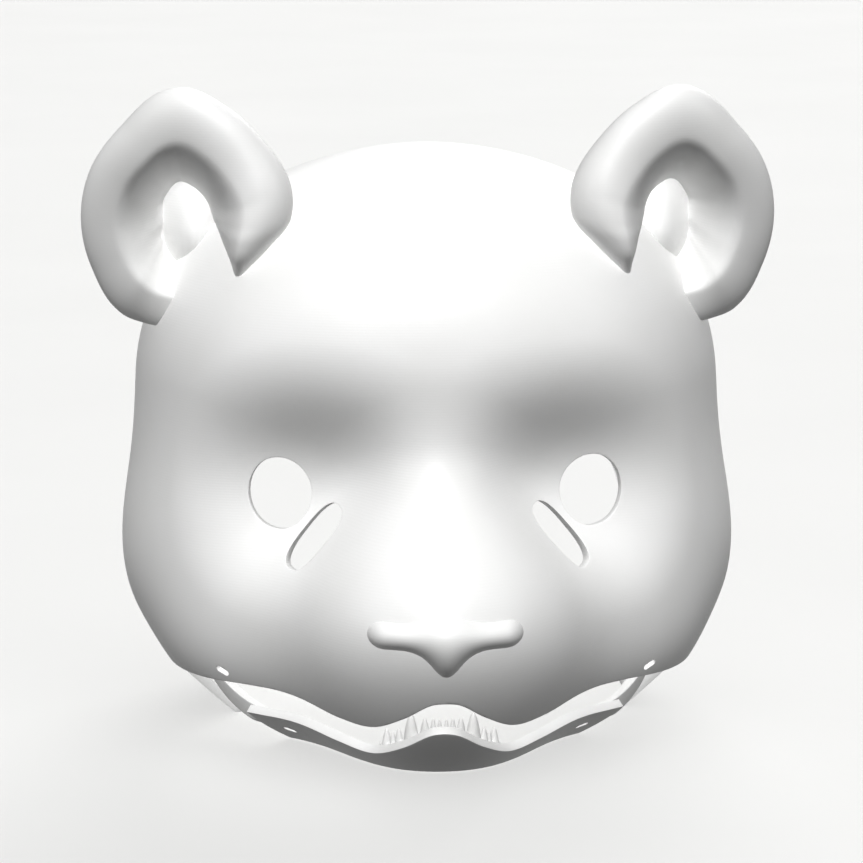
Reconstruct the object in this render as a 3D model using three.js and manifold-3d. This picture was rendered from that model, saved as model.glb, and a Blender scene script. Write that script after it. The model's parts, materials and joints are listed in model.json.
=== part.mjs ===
// Fursuit head base: a printed bear head shell with ears, nose and a hinged lower jaw.
// Millimetres, +Z up. The face looks along -Y and the base rim stands on z = 0.

import * as THREE from 'three';
import { mergeVertices } from 'three/addons/utils/BufferGeometryUtils.js';
import Module from 'manifold-3d';

const wasm = await Module();
wasm.setup();

// Walls and clearances, a distance beyond every face, and what counts as nothing
const WALL = 4;
const SEAT_GAP = 0.3;
const FLOOR_GAP = 0.4;
const FAR = 300;
const TINY = 1e-9;
const MERGE_DISTANCE = 1e-4;
const HALVINGS = 40;

// Fineness of the meshed forms
const OUTER_DETAIL = 10;
const INNER_DETAIL = 6;
const NOSE_DETAIL = 6;
const EAR_SEGMENTS = 28;
const EAR_RINGS = 20;
const EYE_SIDES = 24;
const SLIT_SIDES = 24;
const CURVE_STEPS = 12;
const PIVOT_SIDES = 16;

// The head's outer form is blended from ellipsoids, one row each, in this order.
// lean turns a row about X in degrees, pair makes it on both sides with that softness at the middle,
// blend is the width of its fillet, and a dent is taken away instead of added.
const CORE = new THREE.Vector3(0, -5, 100);
const FORMS = [
  { name: 'cranium', x: 0, y: 24, z: 143, rx: 132, ry: 114, rz: 126, lean: 0, pair: 0, blend: 1, dent: false },
  { name: 'temple', x: 51, y: 22, z: 163, rx: 84, ry: 94, rz: 82, lean: 0, pair: 24, blend: 30, dent: false },
  { name: 'cheek', x: 65, y: 10, z: 79, rx: 82, ry: 88, rz: 74, lean: 0, pair: 14, blend: 34, dent: false },
  { name: 'nape', x: 0, y: 30, z: 20, rx: 105, ry: 90, rz: 60, lean: 0, pair: 0, blend: 20, dent: false },
  { name: 'jowl', x: 0, y: -36, z: 46, rx: 116, ry: 66, rz: 57, lean: 0, pair: 0, blend: 30, dent: false },
  { name: 'chin', x: 0, y: -87, z: 30, rx: 34, ry: 33, rz: 32, lean: 0, pair: 0, blend: 44, dent: false },
  { name: 'socket', x: 70, y: -112, z: 128, rx: 52, ry: 44, rz: 32, lean: 0, pair: 12, blend: 40, dent: true },
  { name: 'bridge', x: 0, y: -72, z: 91, rx: 24, ry: 34, rz: 64, lean: -32, pair: 0, blend: 34, dent: false },
  { name: 'muzzle', x: 0, y: -96, z: 62, rx: 56, ry: 54, rz: 38, lean: -14, pair: 0, blend: 48, dent: false },
];

// Openings in the face, given for the right side and mirrored
const SIGHT_TILT = 12;
const EYE = { x: 71.2, y: -62, z: 119.3, halfWidth: 14.5, halfHeight: 16.4, roll: 16, turn: 12 };
const TEAR_SLIT = {
  x: 55.9, y: -78, z: 102, halfWidth: 7.3, halfLength: 17.2, lean: -31, turn: 20, blunt: 2.6,
};
const ELASTIC_SLOTS = [
  { x: 97, y: -71, z: 39, turn: 37, drop: 20, roll: 25 },
  { x: 116, y: -3, z: 29, turn: 85, drop: 30, roll: 80 },
];
const JAW_SLOT = { x: 68, y: -70, z: 8, turn: 40, drop: 45, roll: 15 };
const SLOT_LENGTH = 7;
const SLOT_WIDTH = 3;
const FACE_DRILL = 32;
const SLOT_DRILL = 9;

// Lip line and jaw rim: height over the floor against distance from the centre plane
const MOUTH_LINE = [
  { x: 0, lip: 41.8, rim: 25.3 },
  { x: 5, lip: 41.4, rim: 24.6 },
  { x: 18, lip: 33.5, rim: 16.4 },
  { x: 31, lip: 26.8, rim: 9.7 },
  { x: 46, lip: 27.7, rim: 11.5 },
  { x: 63, lip: 32.2, rim: 15.2 },
  { x: 86, lip: 33, rim: 15.4 },
  { x: 107, lip: 32, rim: 15 },
  { x: 170, lip: 31, rim: 14 },
];
const MOUTH_BACK = -12;
const JAW_BACK = [{ y: -56, z: 0 }, { y: -64, z: 16 }, { y: -72, z: 60 }];
const CHIN_PLATE_BACK = -94;
const REAR_WINDOW = { z: 80, halfWidth: 104, halfHeight: 62, fromY: 30 };

// Jaw hinge and its arms
const PIVOT = { x: 110, y: 12, z: 48 };
const PIN = { radius: 3.5, head: 6.5, boss: 8, headLength: 3, play: 0.4 };
const ARM = { thickness: 5, height: 8.5, eye: 8, steps: 14, bowX: 92, bowY: -50, bowZ: 10, run: 24 };
const ARM_ROOT = { y: -70, z: 10 };

// Ear: a thick ring seen from the front, about the bowl's centre and from the outward side towards the top.
// radius is the outline's, bowl and crest are shares of it at the bowl's wall and the rim's highest line,
// and height is the rim's there. The powers shape the wall's foot, steeper at the folded inner end.
const EAR = {
  x: 117, y: -18, z: 238, outwardSlope: 0.25, upwardSlope: -0.1, floorDepth: 34, backDepth: 50,
  floorPart: 0.28, crestPart: 0.65, wallPower: 1, foldPower: 0.5, foldAngle: 178, foldSpread: 60,
};
const EAR_MOUND = { x: -6, z: -13, radiusX: 19, radiusZ: 31, height: 18 };
const EAR_RING = [
  { angle: 0, radius: 45.5, bowl: 0.18, crest: 0.66, height: 9 },
  { angle: 30, radius: 47, bowl: 0.2, crest: 0.66, height: 10 },
  { angle: 60, radius: 51.5, bowl: 0.22, crest: 0.66, height: 12 },
  { angle: 90, radius: 63, bowl: 0.24, crest: 0.64, height: 13 },
  { angle: 115, radius: 59, bowl: 0.25, crest: 0.62, height: 15 },
  { angle: 135, radius: 56, bowl: 0.26, crest: 0.61, height: 18 },
  { angle: 160, radius: 55.5, bowl: 0.27, crest: 0.6, height: 23 },
  { angle: 177, radius: 52, bowl: 0.3, crest: 0.6, height: 27 },
  { angle: 190, radius: 45, bowl: 0.38, crest: 0.66, height: 29 },
  { angle: 206, radius: 40, bowl: 0.53, crest: 0.76, height: 28 },
  { angle: 219, radius: 39, bowl: 0.72, crest: 0.88, height: 20 },
  { angle: 235, radius: 40, bowl: 0.8, crest: 0.92, height: 2 },
  { angle: 252, radius: 45, bowl: 0.62, crest: 0.82, height: -4 },
  { angle: 275, radius: 50, bowl: 0.46, crest: 0.73, height: 3 },
  { angle: 290, radius: 51.5, bowl: 0.36, crest: 0.7, height: 6 },
  { angle: 303, radius: 52, bowl: 0.28, crest: 0.66, height: 9 },
  { angle: 330, radius: 47, bowl: 0.2, crest: 0.66, height: 9 },
];

// Nose pad: a round-ended bar over a drop, bent back round the muzzle
const NOSE = { y: -144, z: 71, bend: 0.0075, blend: 16 };
const NOSE_BAR = { halfLength: 27, y: -147, z: 72.8, rx: 8, ry: 9.5, rz: 6.5 };
const NOSE_DROP = { y: -148, z: 65.5, rx: 5.5, ry: 8, rz: 10.5 };

// Lower teeth, from the middle outwards, on both sides
const TEETH = [
  { name: 'first incisor', x: 1.5, height: 3.6, width: 2.4 },
  { name: 'second incisor', x: 4.4, height: 4.4, width: 2.8 },
  { name: 'third incisor', x: 8.1, height: 5.7, width: 4 },
  { name: 'canine', x: 14, height: 10.5, width: 6.2 },
  { name: 'first premolar', x: 19.2, height: 5.3, width: 3.8 },
  { name: 'second premolar', x: 21.8, height: 4.2, width: 2.8 },
  { name: 'third premolar', x: 24.4, height: 6.2, width: 4 },
];
const GUM = { halfLength: 27.5, depth: 4.4, height: 5, steps: 16, below: 3.2 };
const TOOTH_SIDES = 8;
const TOOTH_PROFILE = [{ out: 1, up: 0 }, { out: 0.82, up: 0.5 }, { out: 0, up: 1 }];

const PLASTIC = { color: 0xf1f1ef, roughness: 0.5, metalness: 0 };

// Small helpers

const radians = THREE.MathUtils.degToRad;

/** Smooth minimum of two fields with a fillet of the given width. */
function blendFields(a, b, width) {
  const share = THREE.MathUtils.clamp(0.5 + (0.5 * (b - a)) / width, 0, 1);
  return b + (a - b) * share - width * share * (1 - share);
}

/** Approximate signed distance to an ellipsoid with the given radii, from its centre. */
function ellipsoidField(x, y, z, rx, ry, rz) {
  const scaled = Math.hypot(x / rx, y / ry, z / rz);
  const slope = Math.hypot(x / (rx * rx), y / (ry * ry), z / (rz * rz));
  return (scaled * (scaled - 1)) / Math.max(slope, TINY);
}

/** Straight-line reading of a table's column at x. */
function readTable(table, column, x) {
  const next = table.findIndex((row) => row.x >= x);
  if (next <= 0) return table[0][column];
  const before = table[next - 1];
  const after = table[next];
  return THREE.MathUtils.mapLinear(x, before.x, after.x, before[column], after[column]);
}

/** Signed distance to the head's outer form, negative inside. */
function headField(x, y, z) {
  let field = Infinity;
  for (const form of FORMS) {
    const side = form.pair > 0 ? Math.hypot(x, form.pair) : x;
    const lean = radians(form.lean);
    const dy = y - form.y;
    const dz = z - form.z;
    const along = dy * Math.cos(lean) + dz * Math.sin(lean);
    const up = dz * Math.cos(lean) - dy * Math.sin(lean);
    const own = ellipsoidField(side - form.x, along, up, form.rx, form.ry, form.rz);
    if (field === Infinity) field = own;
    else if (form.dent) field = -blendFields(-field, own, form.blend);
    else field = blendFields(field, own, form.blend);
  }
  return field;
}

/** Signed distance to the nose pad. */
function noseField(x, y, z) {
  const bent = y - NOSE.bend * x * x;
  const end = Math.max(0, Math.abs(x) - NOSE_BAR.halfLength);
  const near = (x, form) => ellipsoidField(x, bent - form.y, z - form.z, form.rx, form.ry, form.rz);
  const bar = near(end, NOSE_BAR);
  const drop = near(x, NOSE_DROP);
  return blendFields(bar, drop, NOSE.blend);
}

/** Root of a rising function between low and high, by halving. */
function solve(rising, low, high) {
  for (let step = 0; step < HALVINGS; step += 1) {
    const middle = (low + high) / 2;
    if (rising(middle) < 0) low = middle;
    else high = middle;
  }
  return (low + high) / 2;
}

/** Keeps only merged positions, so that a closed geometry is watertight. */
function positionsOnly(geometry) {
  const bare = geometry.clone();
  for (const name of Object.keys(bare.attributes)) {
    if (name !== 'position') bare.deleteAttribute(name);
  }
  return mergeVertices(bare, MERGE_DISTANCE);
}

/** Solid of a closed geometry. */
function solidOf(geometry) {
  const merged = positionsOnly(geometry);
  return new wasm.Manifold(new wasm.Mesh({
    numProp: 3,
    vertProperties: new Float32Array(merged.attributes.position.array),
    triVerts: new Uint32Array(merged.index.array),
  }));
}

/** Geometry of a solid. */
function geometryOf(solid) {
  const mesh = solid.getMesh();
  const geometry = new THREE.BufferGeometry();
  geometry.setAttribute('position', new THREE.BufferAttribute(new Float32Array(mesh.vertProperties), 3));
  geometry.setIndex(new THREE.BufferAttribute(new Uint32Array(mesh.triVerts), 1));
  geometry.computeVertexNormals();
  return geometry;
}

/** The same geometry on the other side of the centre plane. */
function mirrored(geometry) {
  const copy = positionsOnly(geometry).scale(-1, 1, 1);
  const index = copy.index.array;
  for (let i = 0; i < index.length; i += 3) {
    [index[i], index[i + 1]] = [index[i + 1], index[i]];
  }
  return copy;
}

/** Solid of the points where a field equals offset, seen from a centre inside it. */
function fieldSolid(field, centre, offset, detail, reach) {
  const geometry = positionsOnly(new THREE.IcosahedronGeometry(1, detail));
  const position = geometry.attributes.position;
  const ray = new THREE.Vector3();
  for (let i = 0; i < position.count; i += 1) {
    ray.fromBufferAttribute(position, i).normalize();
    const rising = (r) => field(centre.x + ray.x * r, centre.y + ray.y * r, centre.z + ray.z * r) - offset;
    ray.multiplyScalar(solve(rising, 0, reach)).add(centre);
    position.setXYZ(i, ray.x, ray.y, ray.z);
  }
  return solidOf(geometry);
}

const headSolid = (offset, detail) => fieldSolid(headField, CORE, offset, detail, FAR);

/** Prism of an outline drawn in X and Z, between two Y planes. */
function prismAlongY(shape, fromY, toY) {
  const options = { depth: toY - fromY, bevelEnabled: false, curveSegments: CURVE_STEPS };
  const geometry = new THREE.ExtrudeGeometry(shape, options);
  return geometry.rotateX(Math.PI / 2).translate(0, toY, 0);
}

/** Prism of an outline drawn in Y and Z, between two X planes. */
function prismAlongX(shape, fromX, toX) {
  const geometry = new THREE.ExtrudeGeometry(shape, { depth: toX - fromX, bevelEnabled: false });
  const axes = new THREE.Matrix4().makeBasis(
    new THREE.Vector3(0, 1, 0), new THREE.Vector3(0, 0, 1), new THREE.Vector3(1, 0, 0));
  return geometry.applyMatrix4(axes).translate(fromX, 0, 0);
}

/** Outline with straight sides and round ends, lying along the second axis. */
function slotShape(length, width) {
  const radius = width / 2;
  const straight = length / 2 - radius;
  const shape = new THREE.Shape();
  shape.moveTo(radius, -straight);
  shape.lineTo(radius, straight);
  shape.absarc(0, straight, radius, 0, Math.PI, false);
  shape.lineTo(-radius, -straight);
  shape.absarc(0, -straight, radius, Math.PI, 2 * Math.PI, false);
  return shape;
}

// Cutters for the openings, each for the right side

/** Oval drill for an eye hole. */
function eyeCutter() {
  const geometry = new THREE.CylinderGeometry(1, 1, 2 * FACE_DRILL, EYE_SIDES);
  geometry.scale(EYE.halfWidth, 1, EYE.halfHeight).rotateY(radians(EYE.roll));
  geometry.rotateX(radians(-SIGHT_TILT / 2)).rotateZ(radians(EYE.turn));
  return geometry.translate(EYE.x, EYE.y, EYE.z);
}

/** Slanting drill for a tear slit, an oval with blunt ends. */
function tearCutter() {
  const outline = [];
  for (let side = 0; side < SLIT_SIDES; side += 1) {
    const angle = (2 * Math.PI * side) / SLIT_SIDES;
    const blunted = (value) => Math.sign(value) * Math.abs(value) ** (2 / TEAR_SLIT.blunt);
    outline.push(new THREE.Vector2(
      TEAR_SLIT.halfWidth * blunted(Math.cos(angle)), TEAR_SLIT.halfLength * blunted(Math.sin(angle))));
  }
  const geometry = prismAlongY(new THREE.Shape(outline), -FACE_DRILL, FACE_DRILL);
  geometry.rotateY(radians(TEAR_SLIT.lean)).rotateX(radians(-SIGHT_TILT)).rotateZ(radians(TEAR_SLIT.turn));
  return geometry.translate(TEAR_SLIT.x, TEAR_SLIT.y, TEAR_SLIT.z);
}

/** Narrow drill for an elastic band, through the wall at a slot's place. */
function elasticCutter(slot) {
  const geometry = prismAlongY(slotShape(SLOT_LENGTH, SLOT_WIDTH), -SLOT_DRILL, SLOT_DRILL);
  geometry.rotateY(radians(90 - slot.roll)).rotateX(radians(slot.drop)).rotateZ(radians(slot.turn));
  return geometry.translate(slot.x, slot.y, slot.z);
}

/** Everything under a column of the mouth table, in front of the mouth's back plane. */
function belowMouthLine(column, fromY, toY, bottom) {
  const right = MOUTH_LINE.map((row) => new THREE.Vector2(row.x, row[column]));
  const left = right.slice(1).reverse().map((point) => new THREE.Vector2(-point.x, point.y));
  const reach = MOUTH_LINE.at(-1).x;
  const shape = new THREE.Shape([
    ...left, ...right, new THREE.Vector2(reach, bottom), new THREE.Vector2(-reach, bottom),
  ]);
  return prismAlongY(shape, fromY, toY);
}

/** Both copies of a right-side cutter taken from a solid. */
function cutBothSides(solid, geometry) {
  return solid.subtract(solidOf(geometry)).subtract(solidOf(mirrored(geometry)));
}

// The pieces

const outer = headSolid(0, OUTER_DETAIL);
const grown = headSolid(SEAT_GAP, OUTER_DETAIL);
const inner = headSolid(-WALL, INNER_DETAIL);
const innerSeat = headSolid(-WALL - SEAT_GAP, INNER_DETAIL);
const fullShell = outer.subtract(inner);
const block = (width, depth, height) => new THREE.BoxGeometry(width, depth, height);
const above = (level) => solidOf(block(2 * FAR, 2 * FAR, FAR).translate(0, 0, level + FAR / 2));
const behind = (y) => solidOf(block(2 * FAR, FAR, 2 * FAR).translate(0, y + FAR / 2, 0));
const chinShell = outer.intersect(above(FLOOR_GAP)).subtract(inner.intersect(above(FLOOR_GAP + WALL)));

/** Shell with its eyes, slits, mouth, rear window and open base. */
function makeShell() {
  let shell = cutBothSides(fullShell, eyeCutter());
  shell = cutBothSides(shell, tearCutter());
  for (const slot of ELASTIC_SLOTS) shell = cutBothSides(shell, elasticCutter(slot));
  shell = shell.subtract(solidOf(belowMouthLine('lip', -FAR, MOUTH_BACK, -FAR)));
  const window = new THREE.Shape();
  window.absellipse(0, REAR_WINDOW.z, REAR_WINDOW.halfWidth, REAR_WINDOW.halfHeight, 0, 2 * Math.PI);
  shell = shell.subtract(solidOf(prismAlongY(window, REAR_WINDOW.fromY, FAR)));
  return shell.intersect(above(0));
}

/** One arm of the right side, a bowed flat bar from the jaw's corner to the pivot. */
function makeArm() {
  const rootX = solve((x) => headField(x, ARM_ROOT.y, ARM_ROOT.z) + WALL / 2, 0, FAR);
  const path = new THREE.CubicBezierCurve3(
    new THREE.Vector3(rootX, ARM_ROOT.y, ARM_ROOT.z),
    new THREE.Vector3(ARM.bowX, ARM.bowY, ARM.bowZ),
    new THREE.Vector3(PIVOT.x, PIVOT.y - ARM.run, PIVOT.z - ARM.run),
    new THREE.Vector3(PIVOT.x, PIVOT.y, PIVOT.z));
  const bar = new THREE.BoxGeometry(ARM.thickness, 1, ARM.height, 1, ARM.steps, 1);
  const position = bar.attributes.position;
  for (let i = 0; i < position.count; i += 1) {
    const share = THREE.MathUtils.clamp(position.getY(i) + 0.5, 0, 1);
    const centre = path.getPoint(share);
    const run = path.getTangent(share);
    const flat = Math.hypot(run.y, run.z);
    const lift = position.getZ(i);
    position.setXYZ(i, centre.x + position.getX(i), centre.y - (lift * run.z) / flat,
      centre.z + (lift * run.y) / flat);
  }
  return bar;
}

/** Cylinder along X about the pivot of the right side. */
function pivotCylinder(radius, fromX, toX) {
  const geometry = new THREE.CylinderGeometry(radius, radius, toX - fromX, PIVOT_SIDES);
  return geometry.rotateZ(Math.PI / 2).translate((fromX + toX) / 2, PIVOT.y, PIVOT.z);
}

/** Jaw: the chin's wall below the rim, with both arms and their eyes. */
function makeJaw() {
  const below = solidOf(belowMouthLine('rim', -FAR, 0, FLOOR_GAP));
  const back = JAW_BACK.map((point) => new THREE.Vector2(point.y, point.z));
  const side = new THREE.Shape([
    new THREE.Vector2(-FAR, JAW_BACK[0].z), ...back, new THREE.Vector2(-FAR, JAW_BACK.at(-1).z),
  ]);
  const front = solidOf(prismAlongX(side, -FAR, FAR));
  const throat = inner.translate([0, 0, -FLOOR_GAP - WALL]).intersect(behind(CHIN_PLATE_BACK));
  let jaw = chinShell.intersect(below).intersect(front).subtract(throat);
  jaw = cutBothSides(jaw, elasticCutter(JAW_SLOT));
  const half = ARM.thickness / 2;
  for (const turnOver of [(geometry) => geometry, mirrored]) {
    const eye = solidOf(turnOver(pivotCylinder(ARM.eye, PIVOT.x - half, PIVOT.x + half)));
    const [from, to] = [PIVOT.x - ARM.run, PIVOT.x + ARM.run];
    const bore = solidOf(turnOver(pivotCylinder(PIN.radius + PIN.play, from, to)));
    const inside = solidOf(turnOver(pivotCylinder(ARM.eye + PIN.play, from, PIVOT.x - half)));
    const outside = solidOf(turnOver(pivotCylinder(ARM.eye + PIN.play, PIVOT.x + half, to)));
    const arm = solidOf(turnOver(makeArm())).intersect(outer).subtract(inside).subtract(outside);
    jaw = jaw.add(arm).add(eye).subtract(bore);
  }
  return jaw;
}

/** Pivot pin of the right side: head, shaft and the boss that seats on the shell's inner wall. */
function makePin() {
  const armHalf = ARM.thickness / 2 + PIN.play;
  const shaft = solidOf(pivotCylinder(PIN.radius, PIVOT.x - armHalf - PIN.headLength, PIVOT.x + armHalf + 1));
  const head = solidOf(pivotCylinder(PIN.head, PIVOT.x - armHalf - PIN.headLength, PIVOT.x - armHalf));
  const boss = solidOf(pivotCylinder(PIN.boss, PIVOT.x + armHalf, PIVOT.x + FAR));
  return shaft.add(head).add(boss).intersect(innerSeat);
}

/** Smooth reading of a column of the ear's ring at an angle in degrees. */
function readRing(column, angle) {
  const turn = THREE.MathUtils.euclideanModulo(angle, 360);
  const count = EAR_RING.length;
  const row = (i) => EAR_RING[THREE.MathUtils.euclideanModulo(i, count)];
  const place = (i) => row(i).angle + 360 * Math.floor(i / count);
  let i = 0;
  while (place(i + 1) <= turn) i += 1;
  const share = (turn - place(i)) / (place(i + 1) - place(i));
  const [a, b, c, d] = [row(i - 1)[column], row(i)[column], row(i + 1)[column], row(i + 2)[column]];
  return b + 0.5 * share * (c - a + share * (2 * a - 5 * b + 4 * c - d + share * (3 * (b - c) + d - a)));
}

/**
 * Outline share and height of the ear's front, from the bowl's centre (0) over the crest to the edge (1),
 * and how hollow it is there, from 1 on the bowl's floor to 0 on the crest.
 */
function earFront(way, angle) {
  const bowl = readRing('bowl', angle);
  const crest = readRing('crest', angle);
  const height = readRing('height', angle);
  if (way < EAR.crestPart) {
    const climb = Math.max(0, THREE.MathUtils.mapLinear(way, EAR.floorPart, EAR.crestPart, 0, 1));
    const share = bowl * Math.min(1, way / EAR.floorPart) + (crest - bowl) * climb;
    const fromFold = (THREE.MathUtils.euclideanModulo(angle, 360) - EAR.foldAngle) / EAR.foldSpread;
    const power = THREE.MathUtils.lerp(EAR.wallPower, EAR.foldPower, Math.exp(-fromFold * fromFold));
    const rise = Math.sin((climb * Math.PI) / 2) ** power;
    return { share, height: THREE.MathUtils.lerp(-EAR.floorDepth, height, rise), hollow: 1 - rise };
  }
  const turn = THREE.MathUtils.mapLinear(way, EAR.crestPart, 1, Math.PI / 2, 0);
  return { share: crest + (1 - crest) * Math.cos(turn), height: height * Math.sin(turn), hollow: 0 };
}

/** Height and share of the ear's back, a plain bulge. */
function earBack(way) {
  const turn = (way * Math.PI) / 2;
  return { share: Math.sin(turn), height: -EAR.backDepth * Math.cos(turn), hollow: 0 };
}

/** Height of the mound on the bowl's floor at a place seen from the front. */
function moundHeight(x, z) {
  const away = Math.hypot((x - EAR_MOUND.x) / EAR_MOUND.radiusX, (z - EAR_MOUND.z) / EAR_MOUND.radiusZ);
  return EAR_MOUND.height * Math.max(0, 1 - away * away) ** 2;
}

/** Ear of the right side, a sphere pressed into a thick cup. */
function makeEar() {
  const geometry = positionsOnly(new THREE.SphereGeometry(1, EAR_SEGMENTS, EAR_RINGS).rotateX(Math.PI / 2));
  const position = geometry.attributes.position;
  for (let i = 0; i < position.count; i += 1) {
    const [right, up, front] = [position.getX(i), position.getY(i), position.getZ(i)];
    const angle = Math.atan2(up, right);
    const degrees = THREE.MathUtils.radToDeg(angle);
    const way = Math.acos(Math.min(1, Math.abs(front))) / (Math.PI / 2);
    const { share, height, hollow } = front >= 0 ? earFront(way, degrees) : earBack(way);
    const radius = share * readRing('radius', degrees);
    const x = Math.cos(angle) * radius;
    const z = Math.sin(angle) * radius;
    const y = EAR.outwardSlope * x + EAR.upwardSlope * z - height - hollow * moundHeight(x, z);
    position.setXYZ(i, EAR.x + x, EAR.y + y, EAR.z + z);
  }
  return geometry;
}

/** Nose pad, hollowed to sit on the muzzle. */
function makeNose() {
  const centre = new THREE.Vector3(0, NOSE.y, NOSE.z);
  return fieldSolid(noseField, centre, 0, NOSE_DETAIL, FAR).subtract(grown);
}

/** Place on the jaw at a distance from the centre plane, a depth behind its outer face. */
function jawPlace(x, below, depth) {
  const z = readTable(MOUTH_LINE, 'rim', Math.abs(x)) - below;
  const y = -solve((forward) => headField(x, -forward, z) + depth, -JAW_BACK[0].y, FAR);
  return new THREE.Vector3(x, y, z);
}

/** Arch of lower teeth on their gum strip. */
function makeTeeth() {
  const depth = WALL + SEAT_GAP + GUM.depth / 2;
  const strip = new THREE.BoxGeometry(1, GUM.depth, GUM.height, GUM.steps, 1, 1);
  const position = strip.attributes.position;
  for (let i = 0; i < position.count; i += 1) {
    const centre = jawPlace(position.getX(i) * 2 * GUM.halfLength, GUM.below, depth);
    position.setXYZ(i, centre.x, centre.y + position.getY(i), centre.z + position.getZ(i));
  }
  let arch = solidOf(strip);
  for (const tooth of TEETH) {
    for (const side of [-1, 1]) {
      const root = jawPlace(side * tooth.x, GUM.below, depth);
      const length = tooth.height + GUM.below;
      const half = tooth.width / 2;
      const profile = TOOTH_PROFILE.map((row) => new THREE.Vector2(row.out * half, row.up * length));
      const crown = new THREE.LatheGeometry([new THREE.Vector2(0, 0), ...profile], TOOTH_SIDES);
      arch = arch.add(solidOf(crown.rotateX(Math.PI / 2).translate(root.x, root.y, root.z)));
    }
  }
  return arch.intersect(innerSeat);
}

// The assembly: the jaw's group turns about the hinge line

const head = new THREE.Group();
const jawGroup = new THREE.Group();
jawGroup.position.set(0, PIVOT.y, PIVOT.z);
head.add(jawGroup);

/** Adds one named piece, made in the head's frame, to a group. */
function addPiece(group, name, solid) {
  const { x, y, z } = group.position;
  const geometry = geometryOf(solid).translate(-x, -y, -z);
  const mesh = new THREE.Mesh(geometry, new THREE.MeshStandardMaterial(PLASTIC));
  mesh.name = name;
  group.add(mesh);
}

const pin = makePin();
addPiece(head, 'head_shell', makeShell());
addPiece(head, 'ear_right', solidOf(makeEar()).subtract(grown));
addPiece(head, 'ear_left', solidOf(mirrored(makeEar())).subtract(grown));
addPiece(head, 'nose', makeNose());
addPiece(head, 'jaw_pin_right', pin);
addPiece(head, 'jaw_pin_left', solidOf(mirrored(geometryOf(pin))));
addPiece(jawGroup, 'jaw', makeJaw());
addPiece(jawGroup, 'lower_teeth', makeTeeth());

// The origin lies on the floor under the middle of the whole head
const box = new THREE.Box3().setFromObject(head);
head.position.y = -box.getCenter(new THREE.Vector3()).y;

export default head;
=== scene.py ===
"""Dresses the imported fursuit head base: a white printed bear head with a hinged lower jaw."""

import json
import logging
import math
from dataclasses import dataclass
from enum import Enum
from typing import Any, Callable, Optional

import bmesh
import bpy
import numpy as np
from mathutils import Matrix, Vector


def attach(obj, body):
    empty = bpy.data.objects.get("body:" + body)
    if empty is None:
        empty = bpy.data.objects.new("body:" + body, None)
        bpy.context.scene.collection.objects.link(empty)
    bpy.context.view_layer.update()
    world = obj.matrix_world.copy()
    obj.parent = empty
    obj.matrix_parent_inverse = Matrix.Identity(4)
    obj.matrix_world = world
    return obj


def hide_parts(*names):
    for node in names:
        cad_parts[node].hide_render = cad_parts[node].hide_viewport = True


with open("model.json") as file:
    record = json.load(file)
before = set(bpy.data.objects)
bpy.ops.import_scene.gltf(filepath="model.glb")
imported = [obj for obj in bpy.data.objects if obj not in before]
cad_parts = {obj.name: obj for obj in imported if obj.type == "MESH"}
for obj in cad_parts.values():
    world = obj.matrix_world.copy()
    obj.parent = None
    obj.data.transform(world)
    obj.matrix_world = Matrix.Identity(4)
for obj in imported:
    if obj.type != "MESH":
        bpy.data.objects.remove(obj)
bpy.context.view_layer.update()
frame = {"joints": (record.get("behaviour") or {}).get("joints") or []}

log = logging.getLogger("head_base")

Points = np.ndarray
Values = np.ndarray
Rule = Callable[[Points], Values]
Place = tuple[float, float, float]
Profile = list[tuple[float, float]]

# Sizes are in millimetres in the head's own frame, and a piece is moved into metres when it is whole
METRE = 0.001
TINY = 1e-9
MERGE_DISTANCE = 0.001
FAR = 300.0
HALVINGS = 34
SNAP_SHARE = 0.22
SHARP_ANGLE = math.radians(48)
IMAGE_WIDTH = 863
SENSOR = 36.0

# Rate of the wave node, and the colour sockets of the mix node
WAVE_RATE = 20.0
MIX_FIRST = 6
MIX_SECOND = 7
MIX_RESULT = 2


class Body(Enum):
    """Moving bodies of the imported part."""

    HEAD = "head"
    JAW = "jaw"


class Slot(Enum):
    """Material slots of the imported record."""

    SHELL = "shell_plastic"
    NOSE = "nose_plastic"
    TEETH = "teeth_plastic"
    PIN = "pin_plastic"


class Side(Enum):
    """Sides of the head, as signs of X."""

    LEFT = -1
    RIGHT = 1


# Small helpers


def linear_colour(hex_code: str) -> tuple[float, float, float, float]:
    """Turns an sRGB hex colour to linear values.

    Args:
        hex_code: Colour as six hex digits after a hash.

    Returns:
        Red, green, blue and an alpha of one.
    """
    channels = [int(hex_code[i:i + 2], 16) / 255 for i in (1, 3, 5)]
    red, green, blue = [c / 12.92 if c <= 0.04045 else ((c + 0.055) / 1.055) ** 2.4 for c in channels]
    return red, green, blue, 1.0


def add_node(tree: bpy.types.NodeTree, kind: str, settings: Optional[dict[str, Any]] = None,
             inputs: Optional[dict[int | str, Any]] = None) -> bpy.types.Node:
    """Adds a node with its settings, its values and its links.

    Args:
        tree: Node tree of the material.
        kind: Type of the node.
        settings: Properties of the node.
        inputs: Values or source sockets, by the input's name or number.

    Returns:
        The new node.
    """
    node = tree.nodes.new(kind)
    for name, value in (settings or {}).items():
        setattr(node, name, value)
    for name, value in (inputs or {}).items():
        if isinstance(value, bpy.types.NodeSocket):
            tree.links.new(value, node.inputs[name])
        else:
            node.inputs[name].default_value = value
    return node


def new_material(name: str) -> tuple[bpy.types.Material, bpy.types.NodeTree]:
    """Starts a material with an empty node tree.

    Args:
        name: Name of the material.

    Returns:
        The material and its tree.
    """
    material = bpy.data.materials.new(name)
    material.use_nodes = True
    material.node_tree.nodes.clear()
    return material, material.node_tree


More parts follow.
